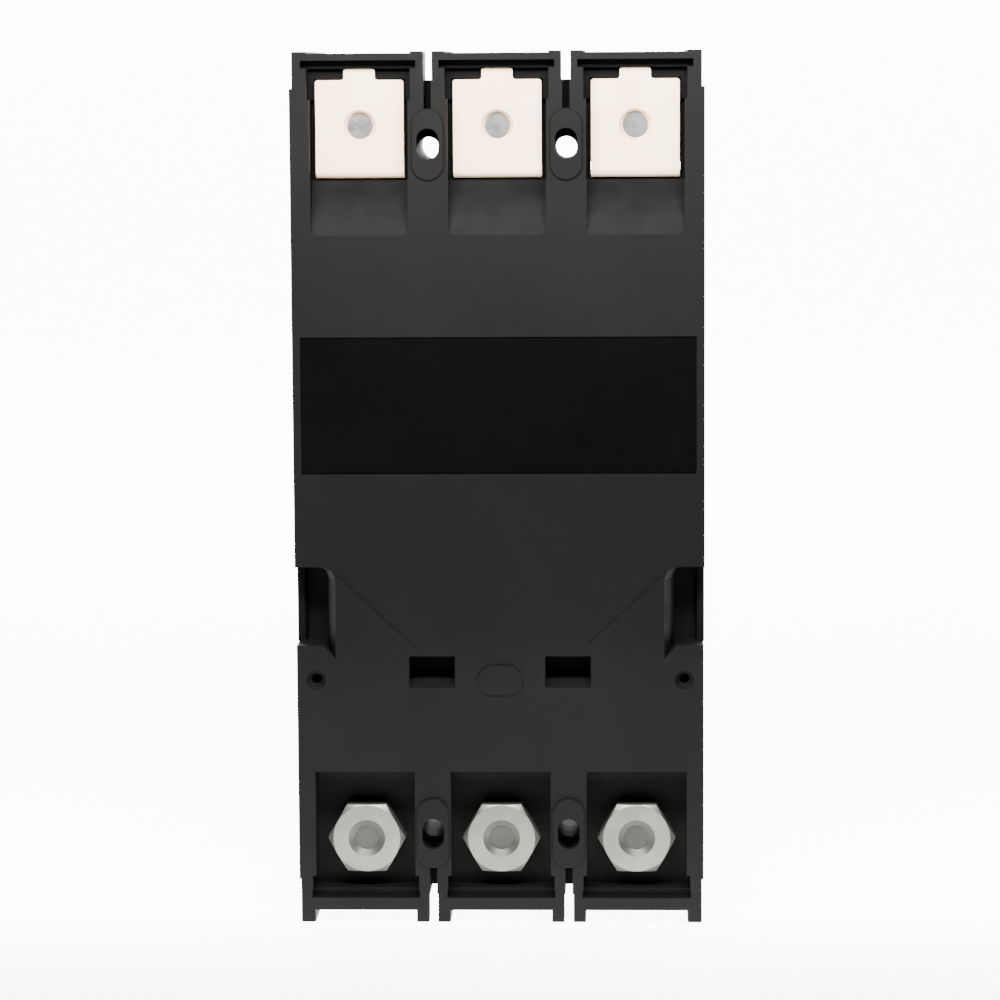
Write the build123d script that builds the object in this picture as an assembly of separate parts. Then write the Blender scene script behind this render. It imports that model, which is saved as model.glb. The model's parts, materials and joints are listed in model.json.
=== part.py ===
"""Three-pole molded case circuit breaker, thermal-magnetic, with a toggle handle.

Frame: +Z points to the line end, -Y points out of the front cover, and Y = 0 is the rear
mounting plane. The origin is the centre of the four panel-screw holes on that plane.
Most functions take depths measured forward from the mounting plane, so a depth d is Y = -d.
Units are millimetres.
"""

from build123d import *
from math import atan2, cos, degrees, hypot, radians, sin
import os

# ---------------------------------------------------------------- driving dimensions
POLE_PITCH = 38.1  # 1.5 in between pole centres
POLES = {"left": -POLE_PITCH, "centre": 0.0, "right": POLE_PITCH}
CASE_HALF_WIDTH = 1.5 * POLE_PITCH
END_RELIEF = 0.8  # the side walls step in by this at both ends
END_RELIEF_FROM = {"line": 111.7, "load": 109.5}
HALF_HEIGHT = 121.8
REAR_FACE = 0.8  # depth of the rear face; the screw pads stand proud of it
PARTING = 56.0  # base meets cover
DECK = 86.0  # front face of the cover
TERMINAL_DECK = 72.0  # front of the cover's side walls beside the terminals
ESCUTCHEON_FRONT = 101.6
BEZEL_Z = (-27.0, 29.0)
BEZEL_SEAT_Z = (-28.2, 30.2)
COVER_WALL = 3.0

# pole compartments, as half widths from the pole's centre
CHAMBER_HALF = 16.2
TERMINAL_HALF = 14.3
GROOVE_HALF = 15.9
CHAMBER_TOP = 84.0
CHAMBER_BOTTOM = -77.0
CHAMBER_FLOOR = 5.0
RAISED_FLOOR = 13.0

# panel screws: round holes on a 1.5 in by 7.5 in rectangle, each relieved outward
SCREW_X = POLE_PITCH / 2
SCREW_Z = 95.25
SCREW_HOLE_R = 3.05
SCREW_RELIEF = 2.4
SCREW_RELIEF_DEPTH = 6.0
SCREW_HEAD_R = 4.4
SCREW_SEAT = 20.0
SCREW_BOSS_R = 6.2
PAD_WIDTH = 9.0
PAD_LENGTH = 19.7
PAD_CENTRE_Z = 96.3

# gaps between poles at each end, for the interphase barriers
BARRIER_HALF = 1.3
BARRIER_WIDE_HALF = 3.4  # in front of the rear wall
BARRIER_WALL = 6.0
BARRIER_FROM = 113.8
BARRIER_GROOVE_HALF = 1.0
BARRIER_GROOVE_FROM = 100.0
BARRIER_GROOVE_DEPTH = 14.0

# line terminals, seen from behind
LINE_RECESS_DEPTH = 10.0
LINE_RECESS_HALF = 13.6
LINE_RECESS_WIDE_FROM = 108.6
LINE_GROOVE = (117.2, 119.4)
GROOVE_DEPTH = 5.0
LINE_BAR_END = 121.3
RAMP_END = 71.4
RAMP_HALF = 13.4
STRAP_HALF = 12.2
STRAP_THICK = 4.0
STRAP_REAR = 6.0
STRAP_BOTTOM = 87.0
STRAP_TOP = 114.0
STRAP_TAB_HALF = 4.3
LINE_HOLE_Z = 101.3
FIXED_LEG_FRONT = 22.0
FIXED_LEG_END = 38.0

# load terminals, seen from behind
LOAD_RECESS = (-78.9, -112.8)
LOAD_RECESS_HALF = 14.0
LOAD_RECESS_DEPTH = 12.0
LOAD_COVE_R = 4.2
LOAD_GROOVE = (-112.8, -114.9)
LOAD_BAR_END = -118.4
LOAD_FLOOR = 15.0
LOAD_HOLE_Z = -98.8
NUT_ACROSS_FLATS = 19.05
NUT_HEX_HEIGHT = 6.5
NUT_SHANK_R = 7.0
TERMINAL_SCREW_R = 3.45  # an 8 mm thread, drawn at its root

# rear face details
PLATE_X = 54.9
PLATE_Z = (5.1, 43.2)
PLATE_RECESS = 1.2
PLATE_THICK = 0.8
NOTCH_Z = (-21.0, -43.1)
POCKET_X = (12.6, 25.4)
POCKET_Z = (-46.1, -55.0)
POCKET_DEPTH = 10.4
OVAL_SIZE = (12.7, 8.3)
OVAL_Z = -52.9
TIE_HOLE = (51.5, -52.8)
TIE_HOLE_R = 1.3
TIE_SINK_R = 2.8
TIE_SINK_DEPTH = 2.2

# contact system
CROSSBAR_AXIS = (36.0, -6.0)  # depth, height
CROSSBAR_R = 9.0
BLADE_HALF = 4.0
BLADE_TIP_Z = 49.0
CONTACT_Z = 44.0
OPEN_ANGLE = 26.0
FIXED_TIP_THICK = 2.5
MOVING_TIP_THICK = 2.2
ARC_PLATE_COUNT = 9
ARC_PLATE_PITCH = 4.2
ARC_PLATE_THICK = 1.5
ARC_PLATE_HALF = 12.0
ARC_STACK_FROM = 29.0
ARC_Z = (46.0, 80.0)
ARC_NOTCH_HALF = 6.2

# operating mechanism, in the centre pole
FRAME_INNER = 9.0
FRAME_THICK = 1.6
HANDLE_AXIS = (47.0, 1.0)
HANDLE_THROW = 32.0
SKIRT_R = 41.0
SKIRT_THICK = 2.0
HANDLE_TIP = 78.0
HANDLE_HALF = 8.5
YOKE_INNER = 11.2
YOKE_THICK = 1.4
CRADLE_AXIS = (70.0, 24.0)
LINK_PIVOT = (66.0, 8.0)
CRANK_PIN = (40.0, 8.0)  # with the contacts closed
LATCH_AXIS = (64.0, -19.4)
LOWER_LINK = 14.5
UPPER_LINK = 13.5
KNEE_PIN_R = 1.35
SPRING_HOOK_R = 36.0

# trip unit
TRIP_Z = (-76.5, -24.5)
TRIP_HALF = 53.8
TRIP_REAR = 22.0
TRIP_FRONT = 82.6
TRIP_WALL = 2.0
TRIP_WINDOW = (30.0, -73.0, -32.0)
TRIP_SHAFT_AXIS = (72.0, -41.0)
BUTTON_X = 22.0
BUTTON_Z = -49.0
KNOB_SPACING = 18.0
KNOB_Z = -61.5
KNOB_R = 5.0


# ---------------------------------------------------------------- helpers
def block(x0, x1, d0, d1, z0, z1):
    """A box from x0 to x1, from depth d0 to d1, and from z0 to z1."""
    size = (abs(x1 - x0), abs(d1 - d0), abs(z1 - z0))
    return Pos((x0 + x1) / 2, -(d0 + d1) / 2, (z0 + z1) / 2) * Box(*size)


def slab(x, half, d0, d1, z0, z1):
    """A box centred crosswise at x, with its half width."""
    return block(x - half, x + half, d0, d1, z0, z1)


def cylinder_y(x, z, r, d0, d1):
    """A cylinder along Y between two depths."""
    return Pos(x, -(d0 + d1) / 2, z) * Rot(90, 0, 0) * Cylinder(r, abs(d1 - d0))


def cone_y(x, z, r_at_d0, r_at_d1, d0, d1):
    """A cone along Y with a radius at each of two depths."""
    solid = Cone(r_at_d0, r_at_d1, d1 - d0)
    return Pos(x, -(d0 + d1) / 2, z) * Rot(90, 0, 0) * solid


def cylinder_x(x0, x1, d, z, r):
    """A cylinder along X at one depth and height."""
    return Pos((x0 + x1) / 2, -d, z) * Rot(0, 90, 0) * Cylinder(r, abs(x1 - x0))


def side_profile(points, x0, x1):
    """Extrudes an outline of (depth, z) points from x0 to x1."""
    corners = [(x0, -d, z) for d, z in points]
    face = make_face(Polyline(*corners, close=True))
    return extrude(face, amount=x1 - x0, dir=(1, 0, 0))


def rear_outline(points, d0, d1):
    """Extrudes an outline of (x, z) points from depth d0 forward to d1."""
    face = make_face(Polyline(*[(x, -d0, z) for x, z in points], close=True))
    return extrude(face, amount=d1 - d0, dir=(0, -1, 0))


def hexagon(x, z, corner, d0, d1):
    """A hexagonal bar along Y, its corners at a given radius."""
    turns = [radians(60 * k) for k in range(6)]
    return rear_outline([(x + corner * cos(a), z + corner * sin(a)) for a in turns], d0, d1)


def oblong(x, z, width, height, d0, d1):
    """A slot shape with round ends, its long side along Z or X, between two depths."""
    upright = height > width
    across = min(width, height)
    run = abs(height - width)
    body = block(x - across / 2, x + across / 2, d0, d1, z - run / 2, z + run / 2)
    ends = [(x, z + s * run / 2) for s in (-1, 1)]
    if not upright:
        body = block(x - run / 2, x + run / 2, d0, d1, z - across / 2, z + across / 2)
        ends = [(x + s * run / 2, z) for s in (-1, 1)]
    for ex, ez in ends:
        body += cylinder_y(ex, ez, across / 2, d0, d1)
    return body


def turned(shape, axis, angle):
    """Turns a shape about a crosswise axis given as (depth, z); positive swings its front up."""
    d, z = axis
    return shape.rotate(Axis((0, -d, z), (-1, 0, 0)), angle)


def turned_point(point, axis, angle):
    """The (depth, z) point turned the same way as turned() turns a shape."""
    rd, rz = point[0] - axis[0], point[1] - axis[1]
    a = radians(angle)
    return (axis[0] + rd * cos(a) - rz * sin(a), axis[1] + rd * sin(a) + rz * cos(a))


def link_plate(a, b, half_width, x0, x1, hole_a, hole_b):
    """A flat link with round ends between two (depth, z) points, bored at each end."""
    angle = degrees(atan2(b[1] - a[1], b[0] - a[0]))
    length = hypot(b[0] - a[0], b[1] - a[1])
    mid = ((a[0] + b[0]) / 2, (a[1] + b[1]) / 2)
    d0, d1 = mid[0] - length / 2, mid[0] + length / 2
    bar = block(x0, x1, d0, d1, mid[1] - half_width, mid[1] + half_width)
    plate = turned(bar, mid, angle)
    for point, hole in ((a, hole_a), (b, hole_b)):
        plate += cylinder_x(x0, x1, *point, half_width)
    for point, hole in ((a, hole_a), (b, hole_b)):
        plate -= cylinder_x(x0 - 1, x1 + 1, *point, hole)
    return plate


def coil(radius, wire, pitch, length):
    """A coil spring along Z from 0 to length."""
    path = Helix(pitch=pitch, height=length, radius=radius)
    section = Plane(origin=path @ 0, z_dir=path % 0) * Circle(wire)
    return sweep(section, path=path, is_frenet=True)


def group(shapes):
    """Several separate solids in one node."""
    return Compound(children=[solid for shape in shapes for solid in shape.solids()])


# ---------------------------------------------------------------- case
def outer_block(d0, d1):
    """The case's outline between two depths, stepped in at both ends."""
    body = slab(0, CASE_HALF_WIDTH, d0, d1, -HALF_HEIGHT, HALF_HEIGHT)
    for side in (-1, 1):
        outer = side * (CASE_HALF_WIDTH + 1)
        inner = side * (CASE_HALF_WIDTH - END_RELIEF)
        body -= block(outer, inner, d0 - 1, d1 + 1, END_RELIEF_FROM["line"], HALF_HEIGHT + 1)
        body -= block(outer, inner, d0 - 1, d1 + 1, -END_RELIEF_FROM["load"], -HALF_HEIGHT - 1)
    return body


def barrier_gaps(d0, d1):
    """The through gaps between neighbouring poles at both ends."""
    gaps = []
    for x in (-SCREW_X, SCREW_X):
        for end in (-1, 1):
            z0, z1 = end * BARRIER_FROM, end * (HALF_HEIGHT + 1)
            wide_from = max(d0, BARRIER_WALL)
            gaps.append(slab(x, BARRIER_WIDE_HALF, wide_from, d1, z0, z1))
            if d0 < BARRIER_WALL:
                gaps.append(slab(x, BARRIER_HALF, d0, BARRIER_WALL, z0, z1))
    return gaps


def screw_places():
    return [(x, z) for x in (-SCREW_X, SCREW_X) for z in (-SCREW_Z, SCREW_Z)]


def side_notch(side):
    """The gripping notch in one rear edge: a rounded inner wall, a deep slot and an outer lip."""
    z0, z1 = NOTCH_Z
    sections = [  # depth, inner edge, outer edge, how far the inner corner reaches below the notch
        (-0.2, 45.2, 58.5, 4.5),
        (1.6, 46.4, 58.5, 3.1),
        (4.0, 47.6, 58.5, 1.7),
        (8.5, 48.5, 58.5, 0.6),
        (10.4, 48.6, 55.2, 0.5),
        (14.5, 48.7, 54.6, 0.4),
    ]
    faces = []
    for d, inner, outer, drop in sections:
        corners = [(outer, z0), (inner + 3.4, z0), (inner + 0.9, z0 - 1.1), (inner, z0 - 3.6),
                   (inner, z1 - drop), (inner + 0.91 * drop, z1), (outer, z1)]
        faces.append(make_face(Polyline(*[(side * x, -d, z) for x, z in corners], close=True)))
    return loft(faces, ruled=True)


def shallow_valley():
    """The faint inclined panel below the plate: deepest at its lower edge, with clipped corners."""
    depth = 0.35
    top, bottom, soft = PLATE_Z[0], -42.0, 3.0
    panel = side_profile(
        [
            (0.0, top),
            (REAR_FACE, top),
            (REAR_FACE + depth, bottom),
            (REAR_FACE, bottom - soft),
            (0.0, bottom - soft),
        ],
        -CASE_HALF_WIDTH - 1,
        CASE_HALF_WIDTH + 1,
    )
    for side in (-1, 1):
        corner = [
            (side * 45.6, -23.2),
            (side * 25.6, bottom),
            (side * 22.0, bottom - 4),
            (side * 70.0, bottom - 4),
            (side * 70.0, -23.2),
        ]
        panel -= rear_outline(corner, -1, REAR_FACE + 2)
    return panel


def rear_base():
    base = outer_block(REAR_FACE, PARTING)
    # mechanism and arc chambers, one to a pole
    for x in POLES.values():
        base -= slab(x, CHAMBER_HALF, RAISED_FLOOR, PARTING, CHAMBER_BOTTOM, CHAMBER_TOP)
        base -= slab(x, CHAMBER_HALF, CHAMBER_FLOOR, PARTING, -38.0, 60.0)
    # bosses that back the two rear notches
    for side in (-1, 1):
        base += block(side * 46.6, side * 55.0, REAR_FACE, 18.0, -51.0, -18.0)
        base += block(side * 43.0, side * 47.0, REAR_FACE, 13.0, -51.0, -18.0)
    # windows for the crossbar, and the bay that holds the trip unit
    base -= block(-50, 50, 24.0, PARTING, -17.0, 6.0)
    base -= slab(0, CHAMBER_HALF + POLE_PITCH, 21.0, PARTING, CHAMBER_BOTTOM, -24.0)
    for x in POLES.values():
        base -= line_end_cut(x)
        base -= load_end_cut(x)
    # screw columns between the terminals
    for x, z in screw_places():
        base += cylinder_y(x, z, SCREW_BOSS_R, LOAD_FLOOR, PARTING)
    base = cut_rear_details(base)
    # the terminal end walls are only as deep as the recesses behind the straps
    for gap in barrier_gaps(0, PARTING + 1):
        base -= gap
    for x, z in screw_places():
        base -= cylinder_y(x, z, SCREW_HOLE_R, -1, PARTING + 1)
        base -= cylinder_y(x, z, SCREW_HEAD_R, SCREW_SEAT, PARTING + 1)
        outward = z + (SCREW_RELIEF if z > 0 else -SCREW_RELIEF)
        base -= slab(x, SCREW_HOLE_R, -1, SCREW_RELIEF_DEPTH, z, outward)
        base -= cylinder_y(x, outward, SCREW_HOLE_R, -1, SCREW_RELIEF_DEPTH)
    for x, z in cover_screw_places():
        base -= cylinder_y(x, z, 1.7, 34.0, PARTING + 1)
    return base


def line_end_cut(x):
    """Everything cut away round one line terminal."""
    cut = slab(x, TERMINAL_HALF, RAISED_FLOOR, PARTING + 1, STRAP_BOTTOM, HALF_HEIGHT + 2)
    cut += slab(x, LINE_RECESS_HALF, -1, LINE_RECESS_DEPTH, STRAP_BOTTOM - 0.4, LINE_RECESS_WIDE_FROM)
    cut += slab(x, STRAP_HALF + 0.4, -1, LINE_RECESS_DEPTH, LINE_RECESS_WIDE_FROM, STRAP_TOP + 0.3)
    # shallower round the strap's upper end and beside its tab
    cut += slab(x, TERMINAL_HALF, -1, 7.4, LINE_RECESS_WIDE_FROM, LINE_GROOVE[0])
    cut += slab(x, STRAP_TAB_HALF + 0.3, -1, LINE_RECESS_DEPTH, STRAP_TOP, LINE_GROOVE[0])
    cut += slab(x, GROOVE_HALF, -1, GROOVE_DEPTH, *LINE_GROOVE)
    cut += slab(x, TERMINAL_HALF, -1, PARTING + 1, LINE_BAR_END, HALF_HEIGHT + 2)
    # window through the floor, so that a conductor can lie on the strap
    cut += slab(x, 10.5, LINE_RECESS_DEPTH - 1, RAISED_FLOOR + 1, 92.0, 112.0)
    # the ramp that leads down to the strap
    cut += terminal_ramp(x)
    # the passage for the strap's forward leg and its fixed-contact leg
    cut += slab(x, STRAP_HALF + 0.2, STRAP_REAR - 0.2, FIXED_LEG_FRONT + 0.2, 86.8, 91.2)
    cut += slab(x, STRAP_HALF + 0.2, 17.8, FIXED_LEG_FRONT + 0.2, 80.0, 91.2)
    # gas vents from the arc chamber
    for k in range(4):
        cut += slab(x - 8.9 + 5.6 * k, 1.6, 30.0, 52.0, CHAMBER_TOP - 1, STRAP_BOTTOM + 1)
    return cut


def terminal_ramp(x):
    """The hollow that curves down from the rear face to the strap's lower end."""
    foot = (x, -REAR_FACE, RAMP_END)
    middle = (x, -4.9, 78.9)
    head = (x, -8.9, STRAP_BOTTOM)
    curve = ThreePointArc(foot, middle, head)
    sides = Polyline(head, (x, 1, STRAP_BOTTOM), (x, 1, RAMP_END), foot)
    hollow = extrude(make_face(curve + sides), amount=RAMP_HALF, dir=(1, 0, 0), both=True)
    limit = slab(x, RAMP_HALF, -2, 10, RAMP_END, STRAP_BOTTOM + 1)
    lower = [e for e in limit.edges().filter_by(Axis.Y) if e.center().Z < RAMP_END + 1]
    return hollow & fillet(lower, 2.0)


def load_end_cut(x):
    """Everything cut away round one load terminal."""
    top, bottom = LOAD_RECESS
    cut = slab(x, TERMINAL_HALF, LOAD_FLOOR, PARTING + 1, -84.0, -HALF_HEIGHT - 2)
    pocket = slab(x, LOAD_RECESS_HALF, -1, LOAD_RECESS_DEPTH, top, bottom)
    cove = [e for e in pocket.edges().filter_by(Axis.X) if e.center().Z > top - 1 and e.center().Y < -2]
    cut += fillet(cove, LOAD_COVE_R)
    cut += slab(x, LOAD_RECESS_HALF + 1, -1, LOAD_RECESS_DEPTH, -108.6, bottom)
    cut += slab(x, GROOVE_HALF - 0.7, -1, GROOVE_DEPTH, *LOAD_GROOVE)
    cut += slab(x, TERMINAL_HALF, -1, PARTING + 1, LOAD_BAR_END, -HALF_HEIGHT - 2)
    cut += cylinder_y(x, LOAD_HOLE_Z, NUT_SHANK_R + 0.05, LOAD_RECESS_DEPTH - 1, LOAD_FLOOR + 1)
    # passage for the strap through the chamber's end wall
    cut += slab(x, STRAP_HALF + 0.2, LOAD_FLOOR - 0.2, 19.2, -85.0, CHAMBER_BOTTOM + 1)
    return cut


def cut_rear_details(base):
    """Plate recess, notches, pockets, tie holes, inclined panel and raised pads on the rear face."""
    base -= slab(0, PLATE_X, -1, REAR_FACE + PLATE_RECESS, *PLATE_Z)
    base -= shallow_valley()
    for side in (-1, 1):
        base -= side_notch(side)
        # the lower half of the case is slightly narrower
        inner, outer = side * (CASE_HALF_WIDTH - 0.3), side * (CASE_HALF_WIDTH + 1)
        base -= block(inner, outer, -1, PARTING + 1, NOTCH_Z[1], -HALF_HEIGHT - 1)
        pocket = side_profile(
            [
                (-1, POCKET_Z[0]),
                (REAR_FACE + POCKET_DEPTH, POCKET_Z[0]),
                (REAR_FACE + POCKET_DEPTH, -51.6),
                (REAR_FACE, POCKET_Z[1]),
                (-1, POCKET_Z[1]),
            ],
            min(side * POCKET_X[0], side * POCKET_X[1]),
            max(side * POCKET_X[0], side * POCKET_X[1]),
        )
        base -= pocket
        x = side * TIE_HOLE[0]
        base -= cone_y(x, TIE_HOLE[1], TIE_SINK_R, TIE_HOLE_R, REAR_FACE, REAR_FACE + TIE_SINK_DEPTH)
        base -= cylinder_y(x, TIE_HOLE[1], TIE_HOLE_R, -1, 11.5)
        for end in (-1, 1):
            z0, z1 = end * BARRIER_GROOVE_FROM, end * (BARRIER_FROM + 1)
            base -= slab(side * SCREW_X, BARRIER_GROOVE_HALF, -1, BARRIER_GROOVE_DEPTH, z0, z1)
            base += raised_pad(side * SCREW_X, end * PAD_CENTRE_Z, PAD_WIDTH, PAD_LENGTH, 0.0)
    return base + raised_pad(0, OVAL_Z, *OVAL_SIZE, 0.15)


def raised_pad(x, z, width, height, d0):
    """A round-ended pad that stands proud of the rear face, with a softened edge."""
    pad = oblong(x, z, width, height, d0, REAR_FACE + 2)
    return chamfer(pad.faces().sort_by(Axis.Y)[-1].edges(), 0.3)


def cover_screw_places():
    return [(x, z) for x in (-SCREW_X, SCREW_X) for z in (-80.5, 70.0)]


def front_cover():
    cover = outer_block(PARTING, DECK)
    deck = DECK - COVER_WALL
    # hollow inside
    for x in POLES.values():
        cover -= slab(x, CHAMBER_HALF, PARTING - 1, deck, CHAMBER_BOTTOM, CHAMBER_TOP)
    cover -= slab(0, CHAMBER_HALF + POLE_PITCH, PARTING - 1, deck, CHAMBER_BOTTOM, -24.0)
    cover -= block(-50, 50, PARTING - 1, 66.0, -17.0, 6.0)
    # the walls beside the terminals stop short of the deck
    for end in (-1, 1):
        z0, z1 = end * STRAP_BOTTOM, end * (HALF_HEIGHT + 1)
        cover -= slab(0, CASE_HALF_WIDTH + 1, TERMINAL_DECK, DECK + 1, z0, z1)
        # and between the poles the base's walls stand alone
        cover -= slab(0, POLE_PITCH + TERMINAL_HALF, PARTING - 1, DECK + 1, z0, z1)
    # handle opening: the deck is cut for the bezel, and its inside clears the handle's skirt
    cover -= block(-27.2, 27.2, deck - 1, DECK + 1, *BEZEL_SEAT_Z)
    cover -= block(-TRIP_WINDOW[0], TRIP_WINDOW[0], deck - 1, DECK + 1, TRIP_WINDOW[1], TRIP_WINDOW[2])
    # columns and seats for the cover screws
    for x, z in cover_screw_places():
        cover += cylinder_y(x, z, 4.6, PARTING, deck + 1)
        cover -= cylinder_y(x, z, 2.2, PARTING - 1, DECK + 1)
        cover -= cylinder_y(x, z, 3.7, 80.0, DECK + 1)
    # shallow seat for the rating plate
    cover -= block(-50.0, -30.0, DECK - 0.6, DECK + 1, -20.0, 40.0)
    # gas vents
    for x in POLES.values():
        for k in range(4):
            cover -= slab(x - 8.9 + 5.6 * k, 1.6, 60.0, 70.0, CHAMBER_TOP - 1, STRAP_BOTTOM + 1)
    # grip ribs on both sides of the deck
    for side in (-1, 1):
        outer = side * (CASE_HALF_WIDTH + 1)
        for k in range(6):
            z = 52.0 + 4.0 * k
            cover -= block(side * (CASE_HALF_WIDTH - 0.7), outer, 62.0, 80.0, z, z + 2.0)
        inner = side * (CASE_HALF_WIDTH - 0.3)
        cover -= block(inner, outer, PARTING - 1, DECK + 1, NOTCH_Z[1], -HALF_HEIGHT - 1)
    return cover


def handle_bezel():
    """The raised escutcheon round the handle, with a curved inside that the skirt sweeps."""
    z0, z1 = BEZEL_Z
    body = block(-26.0, 26.0, DECK - COVER_WALL + 0.1, ESCUTCHEON_FRONT, z0, z1)
    body = chamfer(body.edges().filter_by(Axis.Y), 4.0)
    body = chamfer(body.faces().sort_by(Axis.Y)[0].edges(), 1.2)
    body += block(-27.0, 27.0, DECK - COVER_WALL + 0.1, DECK - 0.1, z0 - 1, z1 + 1)
    reach = SKIRT_R + SKIRT_THICK + 0.5
    body -= cylinder_x(-16.0, 16.0, *HANDLE_AXIS, reach)
    slot_z = HANDLE_AXIS[1]
    slot = slab(0, HANDLE_HALF + 0.6, 80, ESCUTCHEON_FRONT + 1, slot_z - 23.0, slot_z + 23.0)
    body -= slot
    return body


def rear_insulation_plate():
    front = REAR_FACE + PLATE_RECESS
    return slab(0, PLATE_X - 0.2, front - PLATE_THICK, front, PLATE_Z[0] + 0.2, PLATE_Z[1] - 0.2)


def rating_plate():
    return block(-49.7, -30.3, DECK - 0.6, DECK - 0.1, -19.7, 39.7)


def cover_screws():
    screws = []
    for x, z in cover_screw_places():
        screw = cylinder_y(x, z, 3.4, 80.0, 82.8) + cylinder_y(x, z, 1.6, 36.0, 80.5)
        screw -= slab(x, 0.5, 81.7, 83.5, z - 4, z + 4)
        screw -= slab(x, 4, 81.7, 83.5, z - 0.5, z + 0.5)
        screws.append(screw)
    return group(screws)


# ---------------------------------------------------------------- line side
def line_strap(x):
    """Tin-plated line terminal that steps forward and down to carry the fixed contact."""
    front = STRAP_REAR + STRAP_THICK
    strap = side_profile(
        [
            (STRAP_REAR, STRAP_TOP),
            (front, STRAP_TOP),
            (front, 91),
            (FIXED_LEG_FRONT, 91),
            (FIXED_LEG_FRONT, FIXED_LEG_END),
            (FIXED_LEG_FRONT - STRAP_THICK, FIXED_LEG_END),
            (FIXED_LEG_FRONT - STRAP_THICK, STRAP_BOTTOM),
            (STRAP_REAR, STRAP_BOTTOM),
        ],
        x - STRAP_HALF,
        x + STRAP_HALF,
    )
    bends = strap.edges().filter_by(Axis.X)
    outer = [e for e in bends if e.center().Z < 87.5 and -e.center().Y < STRAP_REAR + 0.5]
    outer += [e for e in bends if e.center().Z > 90.5 and -e.center().Y > FIXED_LEG_FRONT - 0.5]
    strap = fillet(outer, 2.2)
    strap += slab(x, STRAP_TAB_HALF, STRAP_REAR, front, STRAP_TOP, LINE_GROOVE[0] - 0.1)
    corners = [e for e in strap.edges().filter_by(Axis.Y) if e.center().Z > STRAP_TOP - 2.5]
    strap = fillet(corners, 0.8)
    strap -= cylinder_y(x, LINE_HOLE_Z, TERMINAL_SCREW_R + 0.03, STRAP_REAR - 1, front + 1)
    strap -= cylinder_y(x, LINE_HOLE_Z, 3.9, STRAP_REAR - 1, STRAP_REAR + 2.2)
    strap -= cone_y(x, LINE_HOLE_Z, 4.5, 3.9, STRAP_REAR - 0.01, STRAP_REAR + 1.0)
    return strap


def fixed_contact_tips():
    tips = []
    for x in POLES.values():
        d0 = FIXED_LEG_FRONT
        tips.append(slab(x, 4, d0, d0 + FIXED_TIP_THICK, CONTACT_Z - 4.5, CONTACT_Z + 4.5))
    return group(tips)


def arc_plates(x):
    """The stack of steel splitter plates, each notched where the blade swings."""
    plates = []
    for k in range(ARC_PLATE_COUNT):
        d = ARC_STACK_FROM + k * ARC_PLATE_PITCH
        plate = slab(x, ARC_PLATE_HALF, d, d + ARC_PLATE_THICK, *ARC_Z)
        half = ARC_NOTCH_HALF
        mouth = ARC_Z[0] - 1
        throat = [(-half, mouth), (-half, 55.0), (-1.5, 64.0), (1.5, 64.0), (half, 55.0), (half, mouth)]
        outline = [(x + u, z) for u, z in throat]
        plates.append(plate - rear_outline(outline, d - 1, d + ARC_PLATE_THICK + 1))
    return group(plates)


def arc_side_sheets(x):
    """Two fibre walls that hold the splitter plates."""
    last = ARC_STACK_FROM + ARC_PLATE_COUNT * ARC_PLATE_PITCH
    sheets = []
    for side in (-1, 1):
        inner = x + side * (ARC_PLATE_HALF + 0.05)
        z0, z1 = ARC_Z[0] - 1, ARC_Z[1] + 1
        sheets.append(block(inner, inner + side * 1.6, ARC_STACK_FROM - 3, last + 1, z0, z1))
    return group(sheets)


def arc_baffle(x):
    """Slotted fibre baffle between the arc stack and the gas vents."""
    baffle = slab(x, 15.5, 28.0, 70.0, 82.2, 83.8)
    for k in range(3):
        baffle -= block(x - 8.6 + 5.6 * k, x - 6.2 + 5.6 * k, 31.0, 66.0, 81, 85)
    return baffle


# ---------------------------------------------------------------- moving contacts
def closed_to_open(shape):
    return turned(shape, CROSSBAR_AXIS, -OPEN_ANGLE)


def crossbar():
    """Insulating shaft across all poles, with a carrier block round each blade."""
    d, z = CROSSBAR_AXIS
    bar = cylinder_x(-49.0, 49.0, d, z, CROSSBAR_R - 2)
    for x in POLES.values():
        bar += cylinder_x(x - 8.6, x + 8.6, d, z, CROSSBAR_R)
        for side in (-1, 1):
            cheek = sorted((x + side * (BLADE_HALF + 0.2), x + side * 8.6))
            bar += block(*cheek, d, d + 10.4, z - 1.0, z + 6.5)
        bar -= slab(x, BLADE_HALF + 0.2, d - 12, d + 12, z - 12, z + 12)
        bar += cylinder_x(x - BLADE_HALF - 0.5, x + BLADE_HALF + 0.5, d, z, 2.4)
        bar += slab(x, BLADE_HALF + 0.5, d + 9.2, d + 10.4, z + 1.0, z + 6.5)
    # crank ears in the centre pole, where the lower links join
    for side in (-1, 1):
        x0, x1 = sorted((side * 6.4, side * 8.6))
        bar += link_plate(CROSSBAR_AXIS, CRANK_PIN, 3.4, x0, x1, 0.5, 0.5)
        bar += cylinder_x(x0, x1, *CROSSBAR_AXIS, 2.0)
        bar -= cylinder_x(x0 - 0.5, x1 + 0.5, *CRANK_PIN, 1.15)
    return closed_to_open(bar)


def contact_blade(x):
    """Copper blade that turns on the crossbar and carries the moving contact."""
    d, z = CROSSBAR_AXIS
    tip_front = FIXED_LEG_FRONT + FIXED_TIP_THICK + MOVING_TIP_THICK + 0.1
    blade = side_profile(
        [
            (tip_front, BLADE_TIP_Z),
            (tip_front + 5.5, BLADE_TIP_Z),
            (tip_front + 7.0, 36.0),
            (d + 4.5, z + 4.0),
            (d + 4.0, z - 4.5),
            (d - 4.0, z - 4.5),
            (d - 5.0, z + 4.0),
            (tip_front + 2, 30.0),
            (tip_front, 38.0),
        ],
        x - BLADE_HALF,
        x + BLADE_HALF,
    )
    blade -= cylinder_x(x - 10, x + 10, d, z, 2.45)
    return closed_to_open(blade)


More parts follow.
